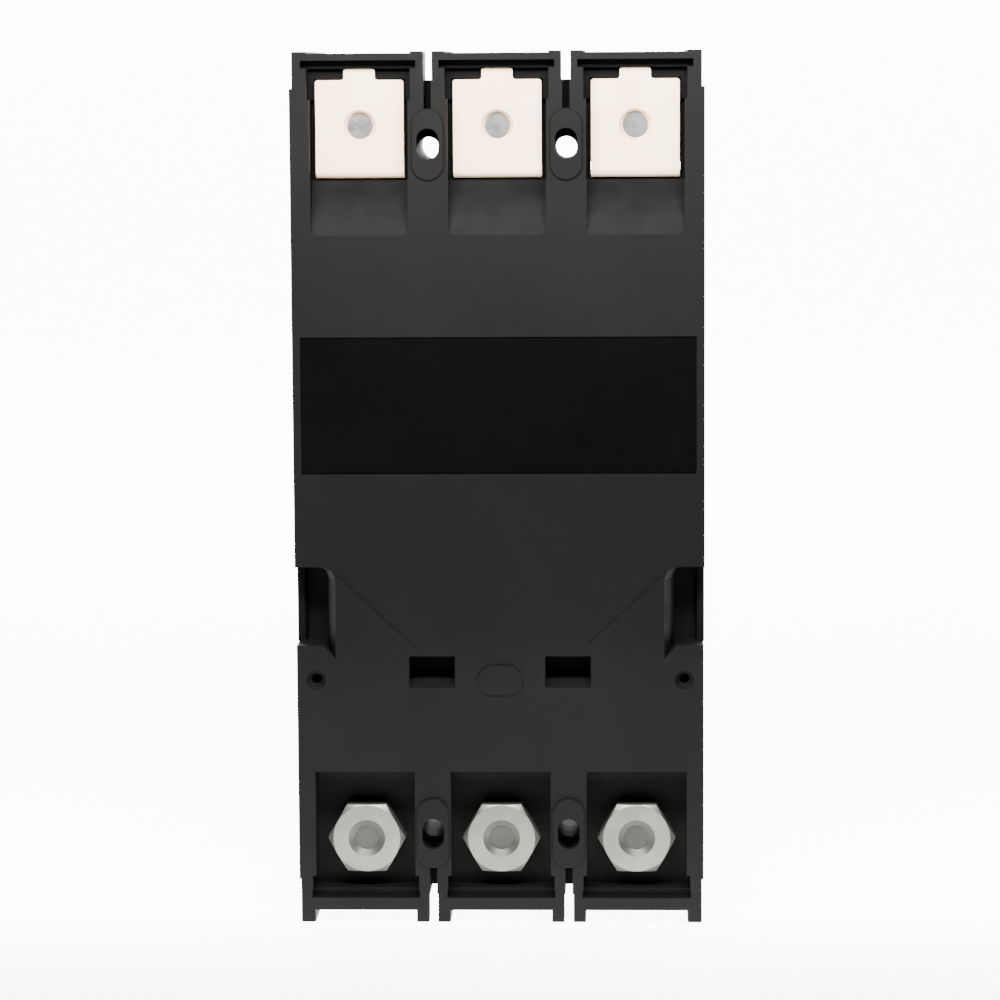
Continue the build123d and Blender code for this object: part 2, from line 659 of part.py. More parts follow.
def moving_contact_tips():
    tips = []
    d0 = FIXED_LEG_FRONT + FIXED_TIP_THICK + 0.1
    for x in POLES.values():
        tip = slab(x, 3.6, d0, d0 + MOVING_TIP_THICK, CONTACT_Z - 4, CONTACT_Z + 4)
        tips.append(closed_to_open(tip))
    return group(tips)


def contact_springs():
    """One compression spring to a pole, on the crossbar's carrier in front of the blade."""
    springs = []
    d, z = CROSSBAR_AXIS
    for x in POLES.values():
        spring = Pos(x, -(d + 5.1), z + 4.0) * Rot(90, 0, 0) * coil(2.2, 0.4, 1.2, 3.3)
        springs.append(closed_to_open(spring))
    return group(springs)


def flexible_braids():
    """Copper braid from each heater strap to the lower end of its blade."""
    d, z = CROSSBAR_AXIS
    start = (17.0, -24.4)
    end = turned_point((d - 2.5, z - 5.1), CROSSBAR_AXIS, -OPEN_ANGLE)
    rear = [(start[0] - 1.6, start[1]), (14.8, -19.0), (16.5, -13.5), (21.5, -9.6), (26.5, -8.6)]
    rear.append((end[0] - 0.6, end[1] + 0.6))
    front = [(end[0] + 0.2, end[1] - 2.0), (27.0, -11.6), (23.0, -12.4), (19.6, -15.2), (18.2, -19.4)]
    front.append((start[0] + 1.6, start[1]))
    return group([side_profile(rear + front, x - 3.8, x + 3.8) for x in POLES.values()])


# ---------------------------------------------------------------- load side
def load_strap(x):
    """Load terminal and heater conductor, one straight bar through the trip unit."""
    strap = slab(x, STRAP_HALF, LOAD_FLOOR, LOAD_FLOOR + STRAP_THICK, -111.0, -86.0)
    strap += slab(x, 8.0, LOAD_FLOOR, LOAD_FLOOR + STRAP_THICK, -86.0, -24.5)
    front = LOAD_FLOOR + STRAP_THICK
    strap -= cylinder_y(x, LOAD_HOLE_Z, TERMINAL_SCREW_R + 0.2, LOAD_FLOOR - 1, front + 1)
    return strap


def load_nut(x):
    """Hexagonal terminal nut with a round shank seated in the base's floor."""
    d0 = LOAD_RECESS_DEPTH - NUT_HEX_HEIGHT
    corner = NUT_ACROSS_FLATS / 2 / cos(radians(30))
    rounding = cone_y(x, LOAD_HOLE_Z, NUT_ACROSS_FLATS / 2 - 0.1, NUT_ACROSS_FLATS / 2 + 2.4, d0, d0 + 1.5)
    rounding += cylinder_y(x, LOAD_HOLE_Z, NUT_ACROSS_FLATS, d0 + 1.5, LOAD_RECESS_DEPTH)
    nut = hexagon(x, LOAD_HOLE_Z, corner, d0, LOAD_RECESS_DEPTH) & rounding
    nut += cylinder_y(x, LOAD_HOLE_Z, NUT_SHANK_R, LOAD_RECESS_DEPTH - 0.5, LOAD_FLOOR)
    nut -= cylinder_y(x, LOAD_HOLE_Z, TERMINAL_SCREW_R + 0.03, d0 - 1, LOAD_FLOOR + 1)
    nut -= cone_y(x, LOAD_HOLE_Z, 5.2, TERMINAL_SCREW_R, d0 - 0.01, d0 + 1.7)
    return nut


def terminal_screw(x, z, seat, end):
    """Hex-socket terminal screw: its head rests at the seat depth and its end points rearward."""
    screw = cylinder_y(x, z, TERMINAL_SCREW_R, end, seat + 0.5)
    screw += cylinder_y(x, z, 8.0, seat, seat + 1.6)
    screw += cylinder_y(x, z, 6.4, seat + 1.5, seat + 8.0)
    return screw - hexagon(x, z, 3.46, seat + 4.0, seat + 9.0)


def line_terminal_screws():
    seat = STRAP_REAR + STRAP_THICK
    return group([terminal_screw(x, LINE_HOLE_Z, seat, STRAP_REAR + 1.9) for x in POLES.values()])


def load_terminal_screws():
    seat = LOAD_FLOOR + STRAP_THICK
    end = LOAD_RECESS_DEPTH - NUT_HEX_HEIGHT + 1.9
    return group([terminal_screw(x, LOAD_HOLE_Z, seat, end) for x in POLES.values()])


# ---------------------------------------------------------------- mechanism
def frame_plate(side):
    """One steel side plate of the mechanism."""
    x0, x1 = sorted((side * FRAME_INNER, side * (FRAME_INNER + FRAME_THICK)))
    plate = side_profile(
        [(8.0, 14.0), (28.0, 14.0), (44.0, -8.0), (56.0, -23.5), (68.0, -23.5), (77.0, -6.0), (79.0, 10.0),
         (72.0, 28.0), (56.0, 32.0), (30.0, 30.0), (8.0, 28.0)],
        x0,
        x1,
    )
    plate -= cylinder_x(x0 - 1, x1 + 1, *CROSSBAR_AXIS, CROSSBAR_R - 1.4)
    for axis, radius in ((HANDLE_AXIS, 2.0), (CRADLE_AXIS, 2.0), (LATCH_AXIS, 1.25)):
        plate -= cylinder_x(x0 - 1, x1 + 1, *axis, radius + 0.03)
    return plate


def frame_pins():
    """The fixed pins in the side plates: two yoke stubs, the cradle's pin and the latch's pin."""
    pins = []
    for side in (-1, 1):
        x0, x1 = sorted((side * FRAME_INNER, side * (YOKE_INNER + YOKE_THICK + 0.6)))
        pins.append(cylinder_x(x0, x1, *HANDLE_AXIS, 2.0))
    reach = FRAME_INNER + FRAME_THICK + 0.3
    pins.append(cylinder_x(-reach, reach, *CRADLE_AXIS, 2.0))
    pins.append(cylinder_x(-reach, reach, *LATCH_AXIS, 1.25))
    return group(pins)


def handle_rest(shape):
    """The handle is drawn at mid throw and stored at its lower, open position."""
    return turned(shape, HANDLE_AXIS, -HANDLE_THROW / 2)


def handle_yoke():
    """Steel stirrup that turns on the side plates and carries the handle."""
    d, z = HANDLE_AXIS
    yoke = None
    for side in (-1, 1):
        x0, x1 = sorted((side * YOKE_INNER, side * (YOKE_INNER + YOKE_THICK)))
        arm = block(x0, x1, d, d + 38.0, z - 4.5, z + 4.5) + cylinder_x(x0, x1, d, z, 5.0)
        arm -= cylinder_x(x0 - 1, x1 + 1, d, z, 2.05)
        yoke = arm if yoke is None else yoke + arm
    yoke += slab(0, YOKE_INNER + YOKE_THICK, d + 36.6, d + 38.0, z - 6.0, z + 6.0)
    return handle_rest(yoke)


def toggle_handle():
    """Moulded handle with a curved skirt that keeps the opening closed."""
    d, z = HANDLE_AXIS
    half = 15.6
    skirt = cylinder_x(-half, half, d, z, SKIRT_R + SKIRT_THICK)
    skirt -= cylinder_x(-half - 1, half + 1, d, z, SKIRT_R)
    spread = radians(45.0)
    reach = 2 * SKIRT_R
    sector = side_profile(
        [(d, z), (d + reach * cos(spread), z + reach * sin(spread)), (d + reach, z),
         (d + reach * cos(spread), z - reach * sin(spread))], -half, half)
    skirt = skirt & sector
    root = block(-12.5, 12.5, d + 38.1, d + SKIRT_R + 1, z - 7.0, z + 7.0)
    grip = side_profile(
        [
            (d + SKIRT_R + 0.5, z - 7.2),
            (d + HANDLE_TIP - 2.0, z - 4.4),
            (d + HANDLE_TIP, z - 2.4),
            (d + HANDLE_TIP, z + 2.4),
            (d + HANDLE_TIP - 2.0, z + 4.4),
            (d + SKIRT_R + 0.5, z + 7.2),
        ],
        -HANDLE_HALF,
        HANDLE_HALF,
    )
    for side in (-1, 1):
        for k in range(3):
            rib_d = d + 64.0 + 3.6 * k
            grip -= slab(0, HANDLE_HALF + 1, rib_d, rib_d + 1.2, z + side * 4.5, z + side * 9.0)
    return handle_rest(skirt + root + grip)


def crank_point(angle):
    return turned_point(CRANK_PIN, CROSSBAR_AXIS, angle)


def knee_point(crank, pivot, lower, upper):
    """Where two links of given lengths meet, folded towards the load end."""
    dd, dz = pivot[0] - crank[0], pivot[1] - crank[1]
    gap = hypot(dd, dz)
    along = (lower**2 - upper**2 + gap**2) / (2 * gap)
    off = (lower**2 - along**2) ** 0.5
    ud, uz = dd / gap, dz / gap
    return (crank[0] + ud * along + uz * off, crank[1] + uz * along - ud * off)


KNEE = knee_point(crank_point(-OPEN_ANGLE), LINK_PIVOT, LOWER_LINK, UPPER_LINK)


def cradle():
    """The releasable arm that anchors the upper links; its nose rests on the latch."""
    plate = link_plate(CRADLE_AXIS, LINK_PIVOT, 4.0, -2.2, 2.2, 2.05, 1.6)
    hook = link_plate(LINK_PIVOT, (72.0, -14.0), 2.8, -2.2, 2.2, 1.6, 0.8)
    return plate + hook - cylinder_x(-3, 3, *LINK_PIVOT, 1.6)


def latch():
    """Lever that holds the cradle's nose until the trip bar lets its tail go."""
    nose = (73.0, LATCH_AXIS[1])
    lever = link_plate(LATCH_AXIS, nose, 2.0, -2.2, 2.2, 1.3, 0.6)
    tail = link_plate(LATCH_AXIS, (58.5, -34.8), 1.7, -2.2, 2.2, 1.3, 0.5)
    return lever + tail


def upper_links():
    links = cylinder_x(-4.0, 4.0, *LINK_PIVOT, 1.5)
    for side in (-1, 1):
        x0, x1 = sorted((side * 2.6, side * 4.0))
        links += link_plate(LINK_PIVOT, KNEE, 3.6, x0, x1, 1.4, 1.35)
    return links


def lower_links():
    """Two links from the crank pins to the knee; the knee holes are wide, as the knee floats."""
    plates = []
    crank = crank_point(-OPEN_ANGLE)
    for side in (-1, 1):
        x0, x1 = sorted((side * 4.5, side * 5.9))
        plate = link_plate(crank, KNEE, 2.6, x0, x1, 1.2, 1.2) + cylinder_x(x0, x1, *KNEE, 4.3)
        plates.append(plate - cylinder_x(x0 - 1, x1 + 1, *KNEE, KNEE_PIN_R + 1.3))
    return group(plates)


def knee_pin():
    """Pin that joins the links and takes the springs' lower hooks."""
    return cylinder_x(-6.1, 6.1, *KNEE, KNEE_PIN_R)


def crank_pins():
    """Two short pins from the crossbar's ears into the lower links."""
    crank = crank_point(-OPEN_ANGLE)
    return group([cylinder_x(*sorted((side * 4.5, side * 8.6)), *crank, 1.15) for side in (-1, 1)])


def main_springs():
    """Two tension springs from the knee pin to the yoke."""
    top = turned_point((HANDLE_AXIS[0] + SPRING_HOOK_R, HANDLE_AXIS[1]), HANDLE_AXIS, -HANDLE_THROW / 2)
    length = hypot(top[0] - KNEE[0], top[1] - KNEE[1]) - 6.0
    angle = degrees(atan2(top[1] - KNEE[1], top[0] - KNEE[0]))
    start = (KNEE[0] + 3.4 * cos(radians(angle)), KNEE[1] + 3.4 * sin(radians(angle)))
    springs = []
    for side in (-1, 1):
        spring = Rot(90, 0, 0) * coil(1.05, 0.32, 1.0, length)
        spring = Pos(side * 7.45, -start[0], start[1]) * spring
        springs.append(turned(spring, start, angle))
    return group(springs)


# ---------------------------------------------------------------- trip unit
def trip_unit_housing():
    x = TRIP_HALF
    z0, z1 = TRIP_Z
    body = block(-x, x, TRIP_REAR, TRIP_FRONT - 1.2, z0, z1)
    inside = TRIP_FRONT - 1.2 - TRIP_WALL
    body -= slab(0, x - TRIP_WALL, TRIP_REAR - 1, inside, z0 + TRIP_WALL, z1 - TRIP_WALL)
    # open towards the contacts, where the latch's tail comes down, and clear of the handle's skirt
    body -= block(-14, 14, 50.0, TRIP_FRONT - 1.2 - TRIP_WALL, z1 - TRIP_WALL - 1, z1 + 1)
    body -= cylinder_x(-16.4, 16.4, *HANDLE_AXIS, SKIRT_R + SKIRT_THICK + 0.8)
    # shelf under the push-to-trip button's spring
    for side in (-1, 1):
        x0, x1 = sorted((BUTTON_X + side * 4.6, BUTTON_X + side * 5.8))
        body += block(x0, x1, 71.4, TRIP_FRONT - 2, BUTTON_Z - 4.4, BUTTON_Z + 4.4)
    shelf = slab(BUTTON_X, 5.8, 71.4, 72.4, BUTTON_Z - 4.4, BUTTON_Z + 4.4)
    body += shelf - cylinder_y(BUTTON_X, BUTTON_Z, 1.5, 70, 74)
    # relief for the cover screws' columns
    for sx, sz in cover_screw_places():
        body -= cylinder_y(sx, sz, 5.0, 20, 90)
    body -= cylinder_y(BUTTON_X, BUTTON_Z, 3.2, TRIP_FRONT - 5, TRIP_FRONT)
    for k in (-1, 0, 1):
        body -= cylinder_y(k * KNOB_SPACING, KNOB_Z, 2.05, TRIP_FRONT - 5, TRIP_FRONT)
    return body


def trip_unit_faceplate():
    x, z0, z1 = TRIP_WINDOW
    plate = block(-x + 0.3, x - 0.3, TRIP_FRONT - 1.2, TRIP_FRONT + 1.4, z0 + 0.3, z1 - 0.3)
    plate -= cylinder_y(BUTTON_X, BUTTON_Z, 3.2, TRIP_FRONT - 3, TRIP_FRONT + 3)
    for k in (-1, 0, 1):
        plate -= cylinder_y(k * KNOB_SPACING, KNOB_Z, KNOB_R + 0.25, TRIP_FRONT - 3, TRIP_FRONT + 3)
    return plate


def adjust_knob(x):
    knob = cylinder_y(x, KNOB_Z, KNOB_R, TRIP_FRONT - 1.1, TRIP_FRONT + 3.6)
    knob += cylinder_y(x, KNOB_Z, 2.0, TRIP_FRONT - 7.0, TRIP_FRONT - 1.0)
    knob -= slab(x, 0.7, TRIP_FRONT + 2.2, TRIP_FRONT + 4, KNOB_Z - 4.2, KNOB_Z + 4.2)
    return knob


def trip_button():
    button = cylinder_y(BUTTON_X, BUTTON_Z, 3.1, TRIP_FRONT - 4.0, TRIP_FRONT + 2.6)
    button += cylinder_y(BUTTON_X, BUTTON_Z, 4.2, TRIP_FRONT - 5.2, TRIP_FRONT - 4.0)
    button += cylinder_y(BUTTON_X, BUTTON_Z, 1.2, 70.0, TRIP_FRONT - 5.0)
    return button


def trip_button_spring():
    return Pos(BUTTON_X, -72.8, BUTTON_Z) * Rot(90, 0, 0) * coil(2.4, 0.3, 1.3, 4.1)


def trip_bar():
    """Common trip shaft with a paddle above each armature and a catch for the latch."""
    d, z = TRIP_SHAFT_AXIS
    bar = cylinder_x(-50.0, 50.0, d, z, 2.2)
    for x in POLES.values():
        bar += slab(x, 5.0, d - 16.0, d, z - 1.2, z + 0.8)
    # the finger that the push-to-trip button presses
    bar += slab(BUTTON_X, 2, d - 5.6, d, z - 1.2, z + 1.2)
    bar += slab(BUTTON_X, 2, d - 5.6, d - 3.6, BUTTON_Z - 2, z)
    return bar


def magnet_yokes():
    yokes = []
    for x in POLES.values():
        yoke = slab(x, 11.0, 23.0, 36.0, -65.0, -53.0)
        yoke -= slab(x, 8.6, 25.4, 37.0, -66.0, -52.0)
        yokes.append(yoke)
    return group(yokes)


def bimetals():
    strips = []
    for x in POLES.values():
        strips.append(slab(x, 4.5, 19.0, 21.0, -35.0, -30.0) + slab(x, 4.5, 20.0, 52.0, -33.2, -31.8))
    return group(strips)


def armature(x):
    plate = slab(x, 10.0, 39.0, 41.0, -66.0, -52.0)
    plate += slab(x, 3.0, 39.0, 41.0, -53.0, -45.8)
    plate += slab(x, 3.0, 39.0, 62.0, -47.8, -45.8)
    return plate + cylinder_x(x - 10.0, x + 10.0, 40.0, -66.2, 1.2)


# ---------------------------------------------------------------- output
def nodes():
    parts = {
        "rear_base": rear_base(),
        "front_cover": front_cover(),
        "handle_bezel": handle_bezel(),
        "rear_insulation_plate": rear_insulation_plate(),
        "rating_plate": rating_plate(),
        "cover_screws": cover_screws(),
        "fixed_contact_tips": fixed_contact_tips(),
        "crossbar": crossbar(),
        "moving_contact_tips": moving_contact_tips(),
        "contact_springs": contact_springs(),
        "flexible_braids": flexible_braids(),
        "line_terminal_screws": line_terminal_screws(),
        "load_terminal_screws": load_terminal_screws(),
        "frame_plate_left": frame_plate(-1),
        "frame_plate_right": frame_plate(1),
        "frame_pins": frame_pins(),
        "handle_yoke": handle_yoke(),
        "toggle_handle": toggle_handle(),
        "cradle": cradle(),
        "upper_links": upper_links(),
        "lower_links": lower_links(),
        "latch": latch(),
        "knee_pin": knee_pin(),
        "crank_pins": crank_pins(),
        "main_springs": main_springs(),
        "trip_unit_housing": trip_unit_housing(),
        "trip_unit_faceplate": trip_unit_faceplate(),
        "trip_button": trip_button(),
        "trip_button_spring": trip_button_spring(),
        "trip_bar": trip_bar(),
        "magnet_yokes": magnet_yokes(),
        "bimetals": bimetals(),
    }
    for name, x in POLES.items():
        parts[f"line_strap_{name}"] = line_strap(x)
        parts[f"arc_plates_{name}"] = arc_plates(x)
        parts[f"arc_side_sheets_{name}"] = arc_side_sheets(x)
        parts[f"arc_baffle_{name}"] = arc_baffle(x)
        parts[f"contact_blade_{name}"] = contact_blade(x)
        parts[f"load_strap_{name}"] = load_strap(x)
        parts[f"load_nut_{name}"] = load_nut(x)
        parts[f"armature_{name}"] = armature(x)
    for k, name in enumerate(POLES):
        parts[f"adjust_knob_{name}"] = adjust_knob((k - 1) * KNOB_SPACING)
    return parts


os.makedirs("parts", exist_ok=True)
for node, shape in nodes().items():
    export_step(shape, f"parts/{node}.step")
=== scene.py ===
"""Studio view of a three-pole molded case circuit breaker, seen from behind.

The CAD nodes keep their shapes and each gets a procedural material. One piece is added: a copy of
the trip button's spring, which replaces the imported one. The object stands on a pale seamless sweep
that glows behind it, between one soft light above the camera's view and one below it.
"""
import json
from math import cos, radians, sin

import bpy
from mathutils import Euler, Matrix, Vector


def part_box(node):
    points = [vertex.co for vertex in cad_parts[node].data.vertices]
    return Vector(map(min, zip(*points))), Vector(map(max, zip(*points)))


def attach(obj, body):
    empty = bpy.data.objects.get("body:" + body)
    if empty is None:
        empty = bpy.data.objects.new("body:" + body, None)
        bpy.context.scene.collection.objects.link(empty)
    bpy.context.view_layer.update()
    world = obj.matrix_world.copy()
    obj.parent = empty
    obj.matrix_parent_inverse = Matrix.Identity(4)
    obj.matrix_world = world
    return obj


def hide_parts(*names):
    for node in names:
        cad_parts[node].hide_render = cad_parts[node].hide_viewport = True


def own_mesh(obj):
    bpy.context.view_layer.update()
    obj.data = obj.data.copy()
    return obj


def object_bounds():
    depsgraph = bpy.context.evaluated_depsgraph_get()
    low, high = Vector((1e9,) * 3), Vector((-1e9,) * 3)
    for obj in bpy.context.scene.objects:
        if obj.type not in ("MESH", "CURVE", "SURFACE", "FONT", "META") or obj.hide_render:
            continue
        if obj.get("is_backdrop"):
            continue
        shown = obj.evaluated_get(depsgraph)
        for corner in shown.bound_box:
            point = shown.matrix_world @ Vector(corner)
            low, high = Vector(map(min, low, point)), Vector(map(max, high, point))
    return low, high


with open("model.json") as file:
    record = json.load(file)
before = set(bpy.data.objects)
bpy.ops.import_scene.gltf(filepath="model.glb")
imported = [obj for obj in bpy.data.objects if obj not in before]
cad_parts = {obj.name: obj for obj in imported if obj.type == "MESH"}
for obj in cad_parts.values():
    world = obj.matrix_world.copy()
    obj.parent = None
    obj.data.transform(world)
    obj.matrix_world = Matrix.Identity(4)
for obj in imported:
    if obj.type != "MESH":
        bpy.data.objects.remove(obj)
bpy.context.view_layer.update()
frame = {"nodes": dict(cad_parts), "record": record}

NODES = frame["nodes"]
SCENE = bpy.context.scene

# sockets of the colour Mix node, which share names with its other data types
MIX_FACTOR, MIX_FIRST, MIX_SECOND, MIX_RESULT = 0, 6, 7, 2

# where the noise of a texture is read from low to high
NOISE_SPAN = (0.35, 0.65)


def centre(node):
    low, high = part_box(node)
    return [(a + b) / 2 for a, b in zip(low, high)]


NUT_CENTRE = centre("load_nut_centre")
POLE_PITCH = abs(centre("load_nut_left")[0] - NUT_CENTRE[0])


# ---------------------------------------------------------------- material building
class Shader:
    """A material under construction, on a Principled BSDF in object coordinates."""

    def __init__(self, name):
        self.material = bpy.data.materials.new(name)
        self.material.use_nodes = True
        self.nodes = self.material.node_tree.nodes
        self.links = self.material.node_tree.links
        self.bsdf = self.nodes["Principled BSDF"]
        self.coords = self.nodes.new("ShaderNodeTexCoord").outputs["Object"]

    def link(self, source, target):
        self.links.new(source, target)

    def drive(self, source, socket):
        """Links a source to one of the surface's own sockets."""
        self.link(source, self.bsdf.inputs[socket])

    def fix(self, **values):
        """Sets constants on the surface's own sockets; _ stands for a space."""
        for socket, value in values.items():
            self.bsdf.inputs[socket.replace("_", " ")].default_value = value

    def axes(self):
        node = self.nodes.new("ShaderNodeSeparateXYZ")
        self.link(self.coords, node.inputs[0])
        return node.outputs

    def noise(self, scale, detail=3.0, roughness=0.5, stretch=(1, 1, 1)):
        mapping = self.nodes.new("ShaderNodeMapping")
        mapping.inputs["Scale"].default_value = stretch
        self.link(self.coords, mapping.inputs["Vector"])
        node = self.nodes.new("ShaderNodeTexNoise")
        node.inputs["Scale"].default_value = scale
        node.inputs["Detail"].default_value = detail
        node.inputs["Roughness"].default_value = roughness
        self.link(mapping.outputs["Vector"], node.inputs["Vector"])
        return node.outputs["Fac"]

    def math(self, operation, value, *constants):
        node = self.nodes.new("ShaderNodeMath")
        node.operation = operation
        self.link(value, node.inputs[0])
        for socket, constant in enumerate(constants, start=1):
            node.inputs[socket].default_value = constant
        return node.outputs[0]

    def ramp(self, value, low, high, at=NOISE_SPAN):
        """Maps a value between two limits to a range between two numbers."""
        node = self.nodes.new("ShaderNodeMapRange")
        node.inputs["From Min"].default_value = at[0]
        node.inputs["From Max"].default_value = at[1]
        node.inputs["To Min"].default_value = low
        node.inputs["To Max"].default_value = high
        self.link(value, node.inputs["Value"])
        return node.outputs["Result"]

    def shades(self, value, stops, interpolation="LINEAR"):
        """Turns a factor into a grey, by (place, grey) stops from 0 to 1."""
        node = self.nodes.new("ShaderNodeValToRGB")
        node.color_ramp.interpolation = interpolation
        elements = node.color_ramp.elements
        elements[0].position, elements[0].color = stops[0][0], (*[stops[0][1]] * 3, 1)
        elements[1].position, elements[1].color = stops[-1][0], (*[stops[-1][1]] * 3, 1)
        for place, grey in stops[1:-1]:
            elements.new(place).color = (grey, grey, grey, 1)
        self.link(value, node.inputs[0])
        return node.outputs[0]

    def mix(self, first, second, blend_type="MIX", amount=1.0):
        """Mixes two colours, each a constant or a socket, by a constant or a socket."""
        node = self.nodes.new("ShaderNodeMix")
        node.data_type = "RGBA"
        node.blend_type = blend_type
        for socket, value in ((MIX_FACTOR, amount), (MIX_FIRST, first), (MIX_SECOND, second)):
            if isinstance(value, bpy.types.NodeSocket):
                self.link(value, node.inputs[socket])
            else:
                node.inputs[socket].default_value = value if socket == MIX_FACTOR else (*value, 1)
        return node.outputs[MIX_RESULT]

    def mottle(self, factor, dark, light):
        return self.mix(dark, light, amount=self.ramp(factor, 0.0, 1.0))

    def bump(self, heights):
        """Stacks bumps, each (height factor, strength, distance in metres)."""
        normal = None
        for height, strength, distance in heights:
            node = self.nodes.new("ShaderNodeBump")
            node.inputs["Strength"].default_value = strength
            node.inputs["Distance"].default_value = distance
            self.link(height, node.inputs["Height"])
            if normal is not None:
                self.link(normal, node.inputs["Normal"])
            normal = node.outputs["Normal"]
        self.drive(normal, "Normal")


# heights and depths in metres, for the painted shade on the case
CASE_HEIGHTS = (-0.128, 0.128)
PAINTED_SHADE_BY_HEIGHT = ((0.0, 1.08), (0.30, 1.04), (0.37, 0.72), (0.55, 0.70), (0.72, 0.98), (1.0, 1.0))
RECESS_DEPTHS = (-0.0130, 0.0)
RECESS_FROM_HEIGHT = (0.060, 0.070)
RECESS_ABOVE, RECESS_BELOW = 1.0, 0.1


def painted_case_shade(s, colour, painted_recess_darkness):
    """Painted shade fitted to the photo: darker across the middle, and darker with depth in the line
    recesses.
    """
    axes = s.axes()
    height = s.ramp(axes["Z"], 0.0, 1.0, at=CASE_HEIGHTS)
    # painted shade by height: darker across the middle of the case, slightly lighter towards the
    # bottom
    colour = s.mix(colour, s.shades(height, PAINTED_SHADE_BY_HEIGHT, "B_SPLINE"), "MULTIPLY")
    # painted shade in the line recesses near the top of the case: darker with depth
    depth = s.ramp(axes["Y"], 0.0, 1.0, at=RECESS_DEPTHS)
    painted_recess_shade = s.shades(depth, ((0.0, 0.8), (0.44, painted_recess_darkness), (0.78, 1.0)))
    amount = s.ramp(axes["Z"], RECESS_BELOW, RECESS_ABOVE, at=RECESS_FROM_HEIGHT)
    return s.mix(colour, painted_recess_shade, "MULTIPLY", amount)


def moulded(name, dark, light, roughness, specular=0.35, painted_recess_darkness=None):
    """Moulded thermoset: fine spark-eroded grain, faint flow mottling and handling marks."""
    s = Shader(name)
    colour = s.mottle(s.noise(28.0, 4.0), dark, light)
    # the case gets painted shade across its middle and in its line recesses
    if painted_recess_darkness is not None:
        colour = painted_case_shade(s, colour, painted_recess_darkness)
    s.drive(colour, "Base Color")
    marks = s.noise(160.0, 5.0, 0.6)
    s.drive(s.ramp(marks, roughness - 0.05, roughness + 0.06), "Roughness")
    s.fix(Specular_IOR_Level=specular)
    s.bump([(s.noise(3800.0, 2.0), 0.35, 0.00002), (s.noise(60.0, 2.0), 0.12, 0.00012)])
    return s.material


def plated(name, dark, light, roughness, metallic=1.0, stretch=(1, 1, 1)):
    """Plated or bright metal: cloudy tone, directional polish lines and fine scratches."""
    s = Shader(name)
    s.drive(s.mottle(s.noise(90.0, 4.0, 0.55), dark, light), "Base Color")
    lines = s.noise(420.0, 4.0, 0.65, stretch)
    s.drive(s.ramp(lines, roughness - 0.05, roughness + 0.07), "Roughness")
    s.fix(Metallic=metallic)
    s.bump([(lines, 0.25, 0.00001), (s.noise(70.0, 2.0), 0.1, 0.00008)])
    return s.material


def machined(name, dark, light, roughness):
    """Turned metal of the terminal nuts, with tool rings round each pole's screw axis."""
    s = Shader(name)
    axes = s.axes()
    flat = s.nodes.new("ShaderNodeCombineXYZ")
    s.link(s.math("WRAP", axes["X"], POLE_PITCH / 2, -POLE_PITCH / 2), flat.inputs["X"])
    s.link(s.math("SUBTRACT", axes["Z"], NUT_CENTRE[2]), flat.inputs["Y"])
    reach = s.nodes.new("ShaderNodeVectorMath")
    reach.operation = "LENGTH"
    s.link(flat.outputs[0], reach.inputs[0])
    rings = s.nodes.new("ShaderNodeTexNoise")
    rings.noise_dimensions = "1D"
    rings.inputs["Scale"].default_value = 5200.0
    rings.inputs["Detail"].default_value = 3.0
    s.link(reach.outputs["Value"], rings.inputs["W"])
    cloud = s.noise(110.0, 4.0, 0.55)
    s.drive(s.mottle(cloud, dark, light), "Base Color")
    s.drive(s.ramp(rings.outputs["Fac"], roughness - 0.08, roughness + 0.1), "Roughness")
    s.fix(Metallic=0.8)
    s.bump([(rings.outputs["Fac"], 0.3, 0.000012), (cloud, 0.1, 0.00005)])
    return s.material


